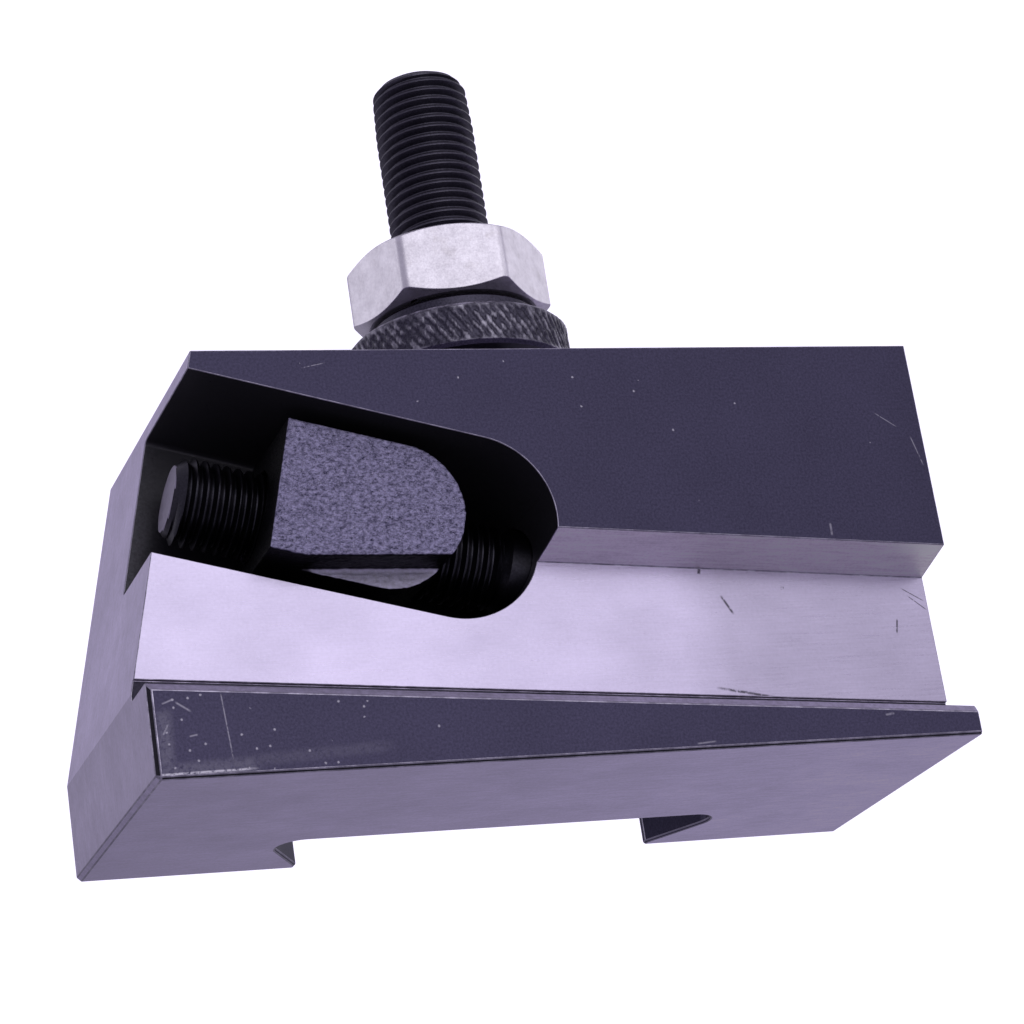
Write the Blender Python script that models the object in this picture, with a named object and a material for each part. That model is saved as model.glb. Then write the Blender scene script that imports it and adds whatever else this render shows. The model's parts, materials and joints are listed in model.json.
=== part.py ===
"""Cut-off blade holder for a dovetail quick change tool post.

The holder stands on its bottom face with its height stud pointing up (+Z).
The blade slot is in the front (-Y) and the dovetail channel in the back (+Y).
The origin is on the bottom face, under the axis of the stud.
"""

import math

import bmesh
import bpy
from mathutils import Matrix

# Driving dimensions, in metres.
LENGTH = 0.0762
THICKNESS = 0.0329
HEIGHT = 0.0381
EDGE_BREAK = 0.0003
GAP = 0.0003

# The left end leans inwards above this height.
LEAN_START = 0.0090
LEAN_AT_TOP = 0.0072

# Blade slot: it falls towards the right end.
SLOT_FALL = math.radians(4.25)
LIP_TOP_LEFT = 0.00845
SLOT_HEIGHT = 0.01535
SEAT_DEPTH = 0.0053
STEP_UNDERCUT = 0.0013
RELIEF_HEIGHT = 0.0019
RELIEF_DEPTH = 0.0003

# Clamp: pocket, block and screw share one axis, which falls towards the right end.
CLAMP_FALL = math.radians(14.8)
CLAMP_END_X = 0.0310
CLAMP_END_Z = 0.0222
SCREW_DEPTH = 0.0110
POCKET_WIDTH = 0.0152
POCKET_DEPTH = 0.0167
POCKET_REACH = 0.0370
WEDGE_WIDTH = 0.0125
WEDGE_LENGTH = 0.0171
WEDGE_FROM_END = 0.0002
WEDGE_FRONT = 0.0020
WEDGE_BACK = 0.0162
WEDGE_SHELF_DEPTH = 0.0056
WEDGE_JAW_DROP = 0.0050
WEDGE_JAW_TILT = math.radians(13.2)

SCREW_DIAMETER = 0.0080
SCREW_TIP = 0.0252
SCREW_TIP_CHAMFER = 0.0010
HEAD_DIAMETER = 0.0092
HEAD_HEIGHT = 0.0060
HEAD_SINK = 0.0050
KEY_ACROSS_FLATS = 0.0050
KEY_DEPTH = 0.0035

# Dovetail channel, along the full height of the back.
DOVETAIL_MOUTH = 0.0352
DOVETAIL_DEPTH = 0.0100
DOVETAIL_NOSE = 0.0007
DOVETAIL_ANGLE = math.radians(60)
DOVETAIL_CORNER = 0.0023
DOVETAIL_LEAD_IN = 0.0002

# Stud and its two nuts.
STUD_DIAMETER = 0.0095
STUD_TOP = 0.0729
STUD_BOTTOM = 0.0308
STUD_CHAMFER = 0.0010
THUMB_BOTTOM = 0.0414
THUMB_RIM_TOP = 0.0456
THUMB_TOP = 0.0475
THUMB_DIAMETER = 0.0211
THUMB_HUB_DIAMETER = 0.0160
LOCK_BOTTOM = 0.0478
LOCK_TOP = 0.0546
LOCK_ACROSS_FLATS = 0.0167
LOCK_TURN = math.radians(44.5)
NUT_CHAMFER = math.radians(30)

ROUND_STEPS = 48
ARC_STEPS = 20
PAST = 0.0020


def clear_scene():
    for obj in list(bpy.data.objects):
        bpy.data.objects.remove(obj, do_unlink=True)


def finish(name, colour, roughness, metallic):
    material = bpy.data.materials.new(name)
    material.use_nodes = True
    shader = material.node_tree.nodes["Principled BSDF"]
    shader.inputs["Base Color"].default_value = (*colour, 1.0)
    shader.inputs["Roughness"].default_value = roughness
    shader.inputs["Metallic"].default_value = metallic
    material.diffuse_color = (*colour, 1.0)
    return material


def ground_steel():
    return finish("ground_steel", (0.52, 0.51, 0.55), 0.35, 1.0)


def black_oxide():
    return finish("black_oxide", (0.03, 0.03, 0.035), 0.40, 0.8)


def blasted_steel():
    return finish("blasted_steel", (0.20, 0.21, 0.25), 0.60, 0.9)


def zinc_plate():
    return finish("zinc_plate", (0.72, 0.72, 0.74), 0.30, 1.0)


def object_from(bm, name, material=None, matrix=None):
    """Turns a bmesh into a named object, with its faces pointing out."""
    bmesh.ops.recalc_face_normals(bm, faces=bm.faces)
    mesh = bpy.data.meshes.new(name)
    bm.to_mesh(mesh)
    bm.free()
    obj = bpy.data.objects.new(name, mesh)
    bpy.context.collection.objects.link(obj)
    if matrix is not None:
        obj.matrix_world = matrix
    if material is not None:
        mesh.materials.append(material)
    return obj


def loft(*sections):
    """A closed solid through outlines that have the same number of points."""
    bm = bmesh.new()
    rings = [[bm.verts.new(point) for point in section] for section in sections]
    for near, far in zip(rings, rings[1:]):
        for index, start in enumerate(near):
            following = (index + 1) % len(near)
            bm.faces.new((start, far[index], far[following], near[following]))
    bm.faces.new(rings[0])
    bm.faces.new(reversed(rings[-1]))
    return bm


def turned(profile, steps=ROUND_STEPS):
    """A solid turned about Z from (radius, height) points, bottom to top."""
    bm = bmesh.new()
    rings = []
    for radius, height in profile:
        ring = []
        for step in range(steps):
            angle = math.tau * step / steps
            ring.append(bm.verts.new((radius * math.cos(angle), radius * math.sin(angle), height)))
        rings.append(ring)
    for lower, upper in zip(rings, rings[1:]):
        for step in range(steps):
            following = (step + 1) % steps
            bm.faces.new((lower[step], lower[following], upper[following], upper[step]))
    bm.faces.new(list(reversed(rings[0])))
    bm.faces.new(rings[-1])
    return bm


def hexagon(across_flats, bottom, top, turn):
    """A hexagonal prism along Z."""
    corner = across_flats / 2 / math.cos(math.pi / 6)
    outline = []
    for index in range(6):
        angle = turn + index * math.tau / 6
        outline.append((corner * math.cos(angle), corner * math.sin(angle)))
    return loft([(x, y, bottom) for x, y in outline], [(x, y, top) for x, y in outline])


def arc(centre, radius, start, end, steps=ARC_STEPS):
    """Points on a circle from one angle to another, both included."""
    points = []
    for step in range(steps + 1):
        angle = start + (end - start) * step / steps
        points.append((centre[0] + radius * math.cos(angle), centre[1] + radius * math.sin(angle)))
    return points


def boolean(target, tool, operation):
    tool.hide_render = True
    tool.display_type = "WIRE"
    modifier = target.modifiers.new(tool.name, "BOOLEAN")
    modifier.operation = operation
    modifier.solver = "EXACT"
    modifier.object = tool


def round_shading(obj):
    obj.data.shade_smooth()
    obj.data.set_sharp_from_angle(angle=math.radians(35))


def from_left(x):
    """World x of a distance from the left end."""
    return x - LENGTH / 2


def from_front(y):
    """World y of a depth behind the front face."""
    return y - THICKNESS / 2


def clamp_axis():
    """An empty on the screw's axis at the centre of the pocket's round end, its +X along the axis."""
    axis = bpy.data.objects.new("clamp_axis", None)
    bpy.context.collection.objects.link(axis)
    axis.location = (from_left(CLAMP_END_X), from_front(SCREW_DEPTH), CLAMP_END_Z)
    axis.rotation_euler = (0.0, CLAMP_FALL, 0.0)
    return axis


def clamp_matrix():
    place = Matrix.Translation((from_left(CLAMP_END_X), from_front(SCREW_DEPTH), CLAMP_END_Z))
    return place @ Matrix.Rotation(CLAMP_FALL, 4, "Y")


def along_clamp():
    """Turns a shape made along Z so that it lies along the clamp axis."""
    return clamp_matrix() @ Matrix.Rotation(math.pi / 2, 4, "Y")


def right_end_along_clamp():
    """Distance along the clamp axis from the pocket's end centre to the right end face."""
    return (LENGTH - CLAMP_END_X) / math.cos(CLAMP_FALL)


def body_blank():
    half = LENGTH / 2
    outline = [
        (-half, 0.0),
        (half, 0.0),
        (half, HEIGHT),
        (from_left(LEAN_AT_TOP), HEIGHT),
        (-half, LEAN_START),
    ]
    front = [(x, from_front(0.0), z) for x, z in outline]
    back = [(x, from_front(THICKNESS), z) for x, z in outline]
    bm = loft(front, back)
    bmesh.ops.bevel(
        bm, geom=list(bm.edges), offset=EDGE_BREAK, offset_type="OFFSET",
        segments=1, profile=0.5, affect="EDGES",
    )
    return bm


def slot_cutter():
    """The blade slot with the relief groove at the foot of its seat."""
    undercut_slope = STEP_UNDERCUT / SEAT_DEPTH
    groove = SEAT_DEPTH + RELIEF_DEPTH
    section = [
        (-PAST, 0.0),
        (groove, 0.0),
        (groove, RELIEF_HEIGHT),
        (SEAT_DEPTH, RELIEF_HEIGHT),
        (SEAT_DEPTH, SLOT_HEIGHT - STEP_UNDERCUT),
        (-PAST, SLOT_HEIGHT + PAST * undercut_slope),
    ]
    ends = []
    for x in (-PAST, LENGTH + PAST):
        floor = LIP_TOP_LEFT - x * math.tan(SLOT_FALL)
        ends.append([(from_left(x), from_front(y), floor + z) for y, z in section])
    return object_from(loft(*ends), "slot_cutter")


def pocket_cutter():
    """The clamp pocket: round at its right end, open at the left end and the front."""
    radius = POCKET_WIDTH / 2
    up = math.pi / 2 - CLAMP_FALL
    end = arc((CLAMP_END_X, CLAMP_END_Z), radius, up, up - math.pi)
    back_x = -POCKET_REACH * math.cos(CLAMP_FALL)
    back_z = POCKET_REACH * math.sin(CLAMP_FALL)
    outline = [(end[0][0] + back_x, end[0][1] + back_z)] + end
    outline += [(end[-1][0] + back_x, end[-1][1] + back_z)]
    front = [(from_left(x), from_front(-PAST), z) for x, z in outline]
    back = [(from_left(x), from_front(POCKET_DEPTH), z) for x, z in outline]
    return object_from(loft(front, back), "pocket_cutter")


def screw_bore_cutter():
    """Clearance bore for the clamp screw, and the counterbore for its head."""
    bore = SCREW_DIAMETER / 2 + GAP
    counterbore = HEAD_DIAMETER / 2 + GAP
    face = right_end_along_clamp()
    shoulder = face - HEAD_SINK - HEAD_HEIGHT - GAP
    profile = [(bore, 0.0), (bore, shoulder), (counterbore, shoulder), (counterbore, face + 2 * PAST)]
    return object_from(turned(profile), "screw_bore_cutter", matrix=along_clamp())


def stud_hole_cutter():
    radius = STUD_DIAMETER / 2 + GAP
    return object_from(turned([(radius, STUD_BOTTOM - GAP), (radius, HEIGHT + PAST)]), "stud_hole_cutter")


def dovetail_outline(grow):
    """Half of the channel's outline, moved into the steel by grow."""
    mouth = DOVETAIL_MOUTH / 2
    back = from_front(THICKNESS)
    nose = back - DOVETAIL_NOSE
    floor = back - DOVETAIL_DEPTH
    across = math.sin(DOVETAIL_ANGLE)
    along = math.cos(DOVETAIL_ANGLE)
    centre_y = floor + DOVETAIL_CORNER
    centre_x = mouth - (DOVETAIL_CORNER + along * (centre_y - nose)) / across
    flank = math.pi / 2 - DOVETAIL_ANGLE
    corner = arc((centre_x, centre_y), DOVETAIL_CORNER + grow, flank, -math.pi / 2, steps=8)
    nose_shift = grow * (1 - across) / along
    return [(mouth + grow, back + PAST), (mouth + grow, nose + nose_shift)] + corner


def dovetail_cutter():
    """The channel through the full height, with a lead-in chamfer at each end."""
    levels = [
        (-PAST, DOVETAIL_LEAD_IN),
        (0.0, DOVETAIL_LEAD_IN),
        (DOVETAIL_LEAD_IN, 0.0),
        (HEIGHT - DOVETAIL_LEAD_IN, 0.0),
        (HEIGHT, DOVETAIL_LEAD_IN),
        (HEIGHT + PAST, DOVETAIL_LEAD_IN),
    ]
    sections = []
    for z, grow in levels:
        side = dovetail_outline(grow)
        outline = side + [(-x, y) for x, y in reversed(side)]
        sections.append([(x, y, z) for x, y in outline])
    return object_from(loft(*sections), "dovetail_cutter")


def holder_body():
    body = object_from(body_blank(), "holder_body", ground_steel())
    cutters = (slot_cutter, pocket_cutter, screw_bore_cutter, stud_hole_cutter, dovetail_cutter)
    for make_cutter in cutters:
        boolean(body, make_cutter(), "DIFFERENCE")
    return body


def height_stud():
    radius = STUD_DIAMETER / 2
    profile = [
        (radius - STUD_CHAMFER, STUD_BOTTOM),
        (radius, STUD_BOTTOM + STUD_CHAMFER),
        (radius, STUD_TOP - STUD_CHAMFER),
        (radius - STUD_CHAMFER, STUD_TOP),
    ]
    stud = object_from(turned(profile), "height_stud", black_oxide())
    round_shading(stud)
    return stud


def stud_bore_cutter(name, bottom, top):
    radius = STUD_DIAMETER / 2 + GAP
    return object_from(turned([(radius, bottom - PAST), (radius, top + PAST)]), name)


def thumb_nut():
    rim = THUMB_DIAMETER / 2
    hub = THUMB_HUB_DIAMETER / 2
    profile = [
        (rim - EDGE_BREAK, THUMB_BOTTOM),
        (rim, THUMB_BOTTOM + EDGE_BREAK),
        (rim, THUMB_RIM_TOP - EDGE_BREAK),
        (rim - EDGE_BREAK, THUMB_RIM_TOP),
        (hub, THUMB_RIM_TOP),
        (hub, THUMB_TOP - EDGE_BREAK),
        (hub - EDGE_BREAK, THUMB_TOP),
    ]
    nut = object_from(turned(profile), "thumb_nut", black_oxide())
    boolean(nut, stud_bore_cutter("thumb_bore_cutter", THUMB_BOTTOM, THUMB_TOP), "DIFFERENCE")
    round_shading(nut)
    return nut


def lock_nut():
    flat = LOCK_ACROSS_FLATS / 2
    corner = flat / math.cos(math.pi / 6)
    drop = (corner + EDGE_BREAK - flat) * math.tan(NUT_CHAMFER)
    nut = object_from(hexagon(LOCK_ACROSS_FLATS, LOCK_BOTTOM, LOCK_TOP, LOCK_TURN), "lock_nut", zinc_plate())
    profile = [
        (flat - EDGE_BREAK, LOCK_BOTTOM - EDGE_BREAK * math.tan(NUT_CHAMFER)),
        (corner + EDGE_BREAK, LOCK_BOTTOM + drop),
        (corner + EDGE_BREAK, LOCK_TOP - drop),
        (flat - EDGE_BREAK, LOCK_TOP + EDGE_BREAK * math.tan(NUT_CHAMFER)),
    ]
    boolean(nut, object_from(turned(profile), "lock_chamfer_tool"), "INTERSECT")
    boolean(nut, stud_bore_cutter("lock_bore_cutter", LOCK_BOTTOM, LOCK_TOP), "DIFFERENCE")
    return nut


def wedge_outline():
    """The block in the clamp frame: flat at its left end, round at its right end."""
    radius = WEDGE_WIDTH / 2
    tip = -WEDGE_FROM_END
    left = tip - WEDGE_LENGTH
    round_end = arc((tip - radius, 0.0), radius, math.pi / 2, -math.pi / 2)
    return [(left, radius)] + round_end + [(left, -radius)]


def wedge_jaw_cutter():
    """Cuts the front of the block away below the jaw face that bears on the blade's edge."""
    left = -WEDGE_FROM_END - WEDGE_LENGTH - PAST
    right = PAST
    middle = -WEDGE_FROM_END - WEDGE_LENGTH / 2
    front = WEDGE_FRONT - SCREW_DEPTH - PAST
    shelf = WEDGE_SHELF_DEPTH - SCREW_DEPTH

    def jaw(u):
        return -WEDGE_JAW_DROP + (u - middle) * math.tan(WEDGE_JAW_TILT)

    outline = [(left, jaw(left)), (right, jaw(right)), (right, -WEDGE_WIDTH), (left, -WEDGE_WIDTH)]
    near = [(u, front, v) for u, v in outline]
    far = [(u, shelf, v) for u, v in outline]
    return object_from(loft(near, far), "wedge_jaw_cutter", matrix=clamp_matrix())


def clamp_wedge(axis):
    outline = wedge_outline()
    near = [(u, WEDGE_FRONT - SCREW_DEPTH, v) for u, v in outline]
    far = [(u, WEDGE_BACK - SCREW_DEPTH, v) for u, v in outline]
    wedge = object_from(loft(near, far), "clamp_wedge", blasted_steel())
    wedge.parent = axis
    bore = [(SCREW_DIAMETER / 2 + GAP, -WEDGE_LENGTH - 2 * PAST), (SCREW_DIAMETER / 2 + GAP, PAST)]
    boolean(wedge, wedge_jaw_cutter(), "DIFFERENCE")
    boolean(wedge, object_from(turned(bore), "wedge_bore_cutter", matrix=along_clamp()), "DIFFERENCE")
    return wedge


def clamp_screw(axis):
    radius = SCREW_DIAMETER / 2
    head = HEAD_DIAMETER / 2
    head_top = right_end_along_clamp() - HEAD_SINK
    head_bottom = head_top - HEAD_HEIGHT
    profile = [
        (radius - SCREW_TIP_CHAMFER, -SCREW_TIP),
        (radius, -SCREW_TIP + SCREW_TIP_CHAMFER),
        (radius, head_bottom),
        (head, head_bottom),
        (head, head_top - EDGE_BREAK),
        (head - EDGE_BREAK, head_top),
    ]
    screw = object_from(turned(profile), "clamp_screw", black_oxide())
    screw.parent = axis
    screw.rotation_euler = (0.0, math.pi / 2, 0.0)
    key = hexagon(KEY_ACROSS_FLATS, head_top - KEY_DEPTH, head_top + PAST, 0.0)
    boolean(screw, object_from(key, "key_socket_cutter", matrix=along_clamp()), "DIFFERENCE")
    round_shading(screw)
    return screw


clear_scene()
holder_body()
height_stud()
thumb_nut()
lock_nut()
clamp_line = clamp_axis()
clamp_wedge(clamp_line)
clamp_screw(clamp_line)
bpy.context.view_layer.update()
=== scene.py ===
"""A cut-off blade holder for a quick change tool post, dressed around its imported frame.

The holder stands on its bottom face. Its blade slot faces -Y, its dovetail channel
faces +Y, and its height stud points up. Every length is in metres.
"""

import json
import math

import bmesh
import bpy
from mathutils import Matrix, Vector, noise


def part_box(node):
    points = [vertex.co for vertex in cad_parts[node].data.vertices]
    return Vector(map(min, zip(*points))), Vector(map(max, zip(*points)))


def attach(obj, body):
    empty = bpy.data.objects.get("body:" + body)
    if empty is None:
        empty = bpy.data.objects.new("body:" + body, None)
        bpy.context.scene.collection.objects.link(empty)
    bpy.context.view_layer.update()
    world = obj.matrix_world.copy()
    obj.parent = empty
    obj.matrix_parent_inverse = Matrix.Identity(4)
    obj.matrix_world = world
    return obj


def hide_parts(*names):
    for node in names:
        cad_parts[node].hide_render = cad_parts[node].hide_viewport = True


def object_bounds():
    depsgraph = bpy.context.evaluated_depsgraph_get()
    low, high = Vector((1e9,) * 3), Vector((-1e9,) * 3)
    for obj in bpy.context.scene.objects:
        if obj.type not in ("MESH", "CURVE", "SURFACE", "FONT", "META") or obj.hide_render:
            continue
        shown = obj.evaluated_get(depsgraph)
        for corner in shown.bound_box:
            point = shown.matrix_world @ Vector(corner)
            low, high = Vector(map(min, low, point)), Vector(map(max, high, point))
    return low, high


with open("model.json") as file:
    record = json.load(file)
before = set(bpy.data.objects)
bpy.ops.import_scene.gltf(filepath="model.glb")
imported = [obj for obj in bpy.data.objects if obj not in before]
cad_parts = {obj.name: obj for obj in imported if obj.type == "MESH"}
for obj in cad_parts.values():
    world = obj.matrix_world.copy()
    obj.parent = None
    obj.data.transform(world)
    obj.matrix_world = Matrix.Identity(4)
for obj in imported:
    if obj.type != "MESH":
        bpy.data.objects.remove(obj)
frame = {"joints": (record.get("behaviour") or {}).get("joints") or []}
cad_low, cad_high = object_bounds()


# ---------------------------------------------------------------------------
# Holder body
# One block of alloy steel, milled to shape and blacked all over. The ends, the
# underside, the top and the blade seat are then ground bright.

MM = 0.001
ON_PLANE = 1e-7
body_low, body_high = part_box("holder_body")
FRONT = body_low.y
LEFT = body_low.x
RIGHT = body_high.x
BACK = body_high.y
TOP = body_high.z
OVERRUN = 2 * MM

LEAN_START = 9.0 * MM
LEAN_AT_TOP = 7.2 * MM
CORNER_CHAMFER = 0.40 * MM
FRONT_CHAMFER = 0.24 * MM
LIP_CORNER_WIDE = 0.62 * MM
EDGE_SOFTENING = 0.09 * MM

SLOT_FALL = math.tan(math.radians(4.25))
LIP_TOP_LEFT = 8.45 * MM
SLOT_HEIGHT = 15.35 * MM
SEAT_DEPTH = 5.3 * MM
STEP_UNDERCUT = 1.3 * MM
RELIEF_HEIGHT = 1.9 * MM
RELIEF_DEPTH = 0.3 * MM
LIP_CHAMFER_DEPTH = 0.45 * MM
LIP_CHAMFER_DROP = 0.68 * MM

POCKET_WIDTH = 15.2 * MM
POCKET_DEPTH = 16.7 * MM
POCKET_REACH = 37 * MM
POCKET_FILLET = 0.5 * MM
FILLET_STEPS = 4

SCREW_BORE_RADIUS = 4.2 * MM
COUNTERBORE_RADIUS = 4.9 * MM
COUNTERBORE_DEPTH = 11.3 * MM
STUD_HOLE_GAP = 0.1 * MM
STUD_HOLE_FLARE = 0.6 * MM

MOUTH = 35.2 * MM
CHANNEL_DEPTH = 10.0 * MM
NOSE = 0.7 * MM
FLANK = math.radians(60)
CHANNEL_CORNER = 2.3 * MM
LEAD_IN = 0.2 * MM

GROUND = (0.66, 0.595, 0.80)
MILLED = (1.0, 0.94, 1.0)
SCRATCH_DARK = (0.10, 0.09, 0.12)
OXIDE = (0.058, 0.0525, 0.094)
OXIDE_DEEP = (0.036, 0.0345, 0.042)
WORN = (0.62, 0.59, 0.70)
# The relief groove is blacked, and darker than the faces as painted shade in the groove.
GROOVE_SHADE_BLACK = (0.035, 0.032, 0.048)

# Specks of bare metal: how many stand along a millimetre, how far a speck's edge and its
# middle reach as shares of that spacing, and the levels that hold them back (0 shows all).
SPECKS_PER_MM = 0.62
SPECK_EDGE = 0.115
SPECK_MIDDLE = 0.06
SPECKS_RARE = 0.70
SPECKS_CROWDED = 0.36
SCRATCH_BARE = 0.32


class Nodes:
    """A material's node tree, with short ways to add and join its nodes."""

    def __init__(self, name):
        self.material = bpy.data.materials.new(name)
        self.material.use_nodes = True
        self.tree = self.material.node_tree
        self.shader = self.tree.nodes["Principled BSDF"]
        self.place = self.add("ShaderNodeTexCoord").outputs["Object"]

    def add(self, kind, **settings):
        node = self.tree.nodes.new(kind)
        for key, value in settings.items():
            setattr(node, key, value)
        return node

    def join(self, output, target):
        self.tree.links.new(output, target)

    def stretched(self, scale, turn=(0.0, 0.0, 0.0)):
        """Object coordinates in millimetres, scaled along each axis."""
        mapping = self.add("ShaderNodeMapping")
        mapping.inputs["Rotation"].default_value = turn
        mapping.inputs["Scale"].default_value = [1000 * part for part in scale]
        self.join(self.place, mapping.inputs["Vector"])
        return mapping.outputs["Vector"]

    def grain(self, vector, scale=1.0, detail=4.0, rough=0.6):
        node = self.add("ShaderNodeTexNoise")
        node.inputs["Scale"].default_value = scale
        node.inputs["Detail"].default_value = detail
        node.inputs["Roughness"].default_value = rough
        self.join(vector, node.inputs["Vector"])
        return node.outputs["Fac"]

    def ramp(self, value, low, high, out_low=0.0, out_high=1.0):
        node = self.add("ShaderNodeMapRange")
        node.inputs["From Min"].default_value = low
        node.inputs["From Max"].default_value = high
        node.inputs["To Min"].default_value = out_low
        node.inputs["To Max"].default_value = out_high
        self.join(value, node.inputs["Value"])
        return node.outputs["Result"]

    def spread(self, grain, out_low=0.0, out_high=1.0):
        """A grain mostly runs from 0.3 to 0.7, and this gives it the range that is asked for."""
        return self.ramp(grain, 0.3, 0.7, out_low, out_high)

    def math(self, operation, first, second):
        node = self.add("ShaderNodeMath", operation=operation)
        for socket, value in zip(node.inputs, (first, second)):
            if isinstance(value, (int, float)):
                socket.default_value = value
            else:
                self.join(value, socket)
        return node.outputs["Value"]

    def times(self, product, *factors):
        for factor in factors:
            product = self.math("MULTIPLY", product, factor)
        return product

    def shaded(self, tone, shade):
        """One colour, made lighter or darker from place to place."""
        node = self.add("ShaderNodeVectorMath", operation="SCALE")
        node.inputs[0].default_value = tone
        self.join(shade, node.inputs["Scale"])
        return node.outputs["Vector"]

    def blend(self, amount, first, second):
        node = self.add("ShaderNodeMix", data_type="RGBA")
        self.join(amount, node.inputs[0])
        for socket, value in ((node.inputs[6], first), (node.inputs[7], second)):
            if isinstance(value, tuple):
                socket.default_value = (*value, 1.0)
            else:
                self.join(value, socket)
        return node.outputs[2]

    def part_of(self, vector, axis):
        split = self.add("ShaderNodeSeparateXYZ")
        self.join(vector, split.inputs[0])
        return split.outputs[axis]

    def stroke(self, centre, length, width, angle):
        """One short straight scratch on a face that looks along Y. Angle is up from X."""
        mapping = self.add("ShaderNodeMapping", vector_type="TEXTURE")
        mapping.inputs["Location"].default_value = (centre[0] * MM, 0, centre[1] * MM)
        mapping.inputs["Rotation"].default_value = (0, -math.radians(angle), 0)
        mapping.inputs["Scale"].default_value = (length / 2 * MM, 1, width / 2 * MM)
        self.join(self.place, mapping.inputs["Vector"])
        from_centre = self.add("ShaderNodeVectorMath", operation="ABSOLUTE")
        self.join(mapping.outputs["Vector"], from_centre.inputs[0])
        along = self.part_of(from_centre.outputs["Vector"], "X")
        across = self.part_of(from_centre.outputs["Vector"], "Z")
        ragged = self.ramp(self.grain(self.stretched((3.0, 3.0, 3.0)), detail=3.0), 0.30, 0.50)
        return self.times(self.ramp(along, 1.0, 0.7), self.ramp(across, 1.3, 0.4), ragged)

    def strokes(self, marks):
        """All of a face's scratches in one, each as strong as its own mark says."""
        total = 0.0
        for centre, length, width, angle, *strength in marks:
            line = self.stroke(centre, length, width, angle)
            if strength:
                line = self.times(line, strength[0])
            total = self.math("MAXIMUM", total, line)
        return total

    def bump(self, height, distance, strength=1.0):
        node = self.add("ShaderNodeBump")
        node.inputs["Distance"].default_value = distance
        node.inputs["Strength"].default_value = strength
        self.join(height, node.inputs["Height"])
        self.join(node.outputs["Normal"], self.shader.inputs["Normal"])

    def finish(self, colour, roughness, metallic):
        self.shader.inputs["Metallic"].default_value = metallic
        for value, socket in ((colour, "Base Color"), (roughness, "Roughness")):
            if isinstance(value, tuple):
                self.shader.inputs[socket].default_value = (*value, 1.0)
            elif isinstance(value, float):
                self.shader.inputs[socket].default_value = value
            else:
                self.join(value, self.shader.inputs[socket])
        return self.material


def ground_steel(name, grinding, base_tone, roughness, contrast=1.0, painted_light_fall=None, scratches=()):
    """Bright ground steel. grinding gives how fine its lines are along each axis, and the painted light fall
    gives two places along X with the tone at each: painted light, the face lighter at one end than at the
    other."""
    nodes = Nodes(name)
    lines = nodes.grain(nodes.stretched(grinding), detail=4.0, rough=0.7)
    clouds = nodes.grain(nodes.stretched((0.10, 0.16, 0.16)), detail=3.0)
    fine = nodes.grain(nodes.stretched((3.5, 3.5, 3.5)), detail=2.0)
    shade = nodes.times(
        nodes.spread(lines, 1 - 0.16 * contrast, 1 + 0.12 * contrast),
        nodes.spread(clouds, 0.92, 1.08),
        nodes.spread(fine, 1 - 0.08 * contrast, 1 + 0.08 * contrast),
    )
    # Painted light: the tone along X changes as the light across the face does.
    if painted_light_fall is not None:
        shade = nodes.times(shade, nodes.ramp(nodes.part_of(nodes.place, "X"), *painted_light_fall))
    nick = nodes.grain(nodes.stretched((0.30, 2.6, 1.1), turn=(0.3, 0.5, 0.9)), detail=1.0)
    marks = nodes.ramp(nick, 0.80, 0.84, 0.0, 0.4)
    if scratches:
        marks = nodes.math("MAXIMUM", marks, nodes.strokes(scratches))
    colour = nodes.blend(marks, nodes.shaded(base_tone, shade), SCRATCH_DARK)
    nodes.bump(lines, 0.004 * MM, 0.5)
    return nodes.finish(colour, nodes.spread(lines, roughness - 0.05, roughness + 0.07), 1.0)


def black_oxide(name, base_tone, roughness, specks=1.0, crowd=None, scratches=()):
    """Blacked steel: dark slate, with specks and scratches rubbed back to the metal, and painted light that
    makes it lighter towards the bottom. crowd gives two places along X with how rare the specks are at each."""
    nodes = Nodes(name)
    fine = nodes.grain(nodes.stretched((4.5, 4.5, 4.5)), detail=3.0, rough=0.7)
    clouds = nodes.grain(nodes.stretched((0.11, 0.11, 0.11)), detail=4.0)
    # Painted light: the black is lighter low down, fading out by 14 mm up.
    painted_light_low_down = nodes.ramp(nodes.part_of(nodes.place, "Z"), 4 * MM, 14 * MM, 1.16, 1.0)
    shade = nodes.times(nodes.spread(fine, 0.74, 1.26), nodes.spread(clouds, 0.86, 1.14), painted_light_low_down)
    dots = nodes.add("ShaderNodeTexVoronoi", voronoi_dimensions="2D")
    dots.inputs["Scale"].default_value = SPECKS_PER_MM
    nodes.join(nodes.stretched((1.0, 1.0, 1.0), turn=(math.pi / 2, 0, 0)), dots.inputs["Vector"])
    ragged = nodes.math("ADD", dots.outputs["Distance"], nodes.spread(fine, 0.0, 0.06))
    bare = nodes.ramp(ragged, SPECK_EDGE, SPECK_MIDDLE, 0.0, 0.5 * specks)
    sparse = nodes.grain(nodes.stretched((0.35, 0.35, 0.35)), detail=1.0)
    rare = SPECKS_RARE
    if crowd is not None:
        along = nodes.ramp(nodes.part_of(nodes.place, "X"), *crowd)
        above = nodes.ramp(nodes.part_of(nodes.place, "Z"), 8 * MM, 16 * MM, *crowd[2:])
        rare = nodes.math("MAXIMUM", along, above)
    bare = nodes.times(bare, nodes.math("GREATER_THAN", sparse, rare))
    if scratches:
        bare = nodes.math("MAXIMUM", bare, nodes.times(nodes.strokes(scratches), SCRATCH_BARE))
    colour = nodes.blend(bare, nodes.shaded(base_tone, shade), WORN)
    nodes.bump(fine, 0.006 * MM, 0.4)
    return nodes.finish(colour, nodes.spread(clouds, roughness - 0.05, roughness + 0.06), 1.0)


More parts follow.
